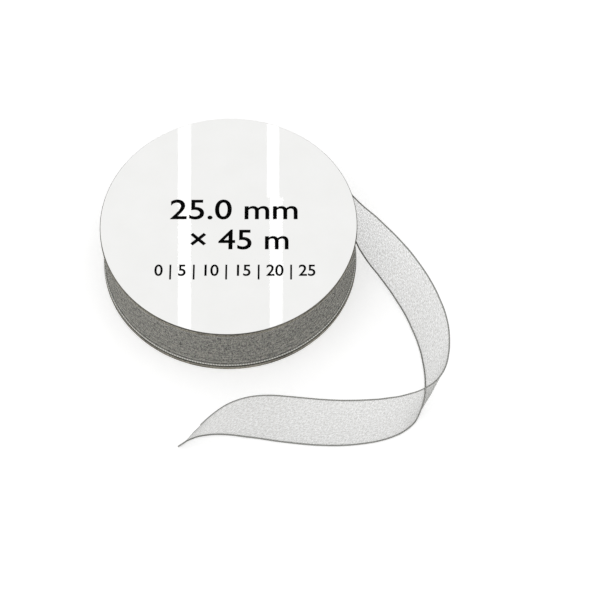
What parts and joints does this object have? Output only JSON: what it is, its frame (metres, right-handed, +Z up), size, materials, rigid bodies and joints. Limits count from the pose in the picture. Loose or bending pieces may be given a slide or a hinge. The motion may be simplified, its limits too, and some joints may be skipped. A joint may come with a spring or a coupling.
{
  "type": "ribbon spool",
  "caption": "Flat round spool of sheer organza ribbon between board flanges on a cardboard core, with a gloss label on top and the ribbon's free end drawn off along the table.",
  "frame": {"origin": "on the spool's axis at the table, in the middle of the lower flange's underside", "axes": "+Z up the spool's axis; the free end of the ribbon leaves the roll on the +X side and curls round towards -Y"},
  "size_m": [0.155, 0.1564, 0.0306],
  "materials": {
    "greyboard": "matte",
    "kraft_tube": "matte",
    "gloss_label": "gloss",
    "tape": "gloss",
    "organza_wound": "satin",
    "organza_single": "satin"
  },
  "bodies": {
    "spool": {"bottom_flange": "greyboard", "core_tube": "kraft_tube", "top_flange": "greyboard", "top_label": "gloss_label", "start_tape": "tape", "wound_ribbon": "organza_wound"},
    "free_ribbon": {"outer_turn": "organza_single", "ribbon_tail": "organza_single"}
  },
  "joints": [
    {"name": "free_end_turns", "type": "hinge", "parent": "spool", "child": "free_ribbon", "pos_m": [0, 0, 0.0152], "axis": [0, 0, 1], "continuous": true}
  ]
}
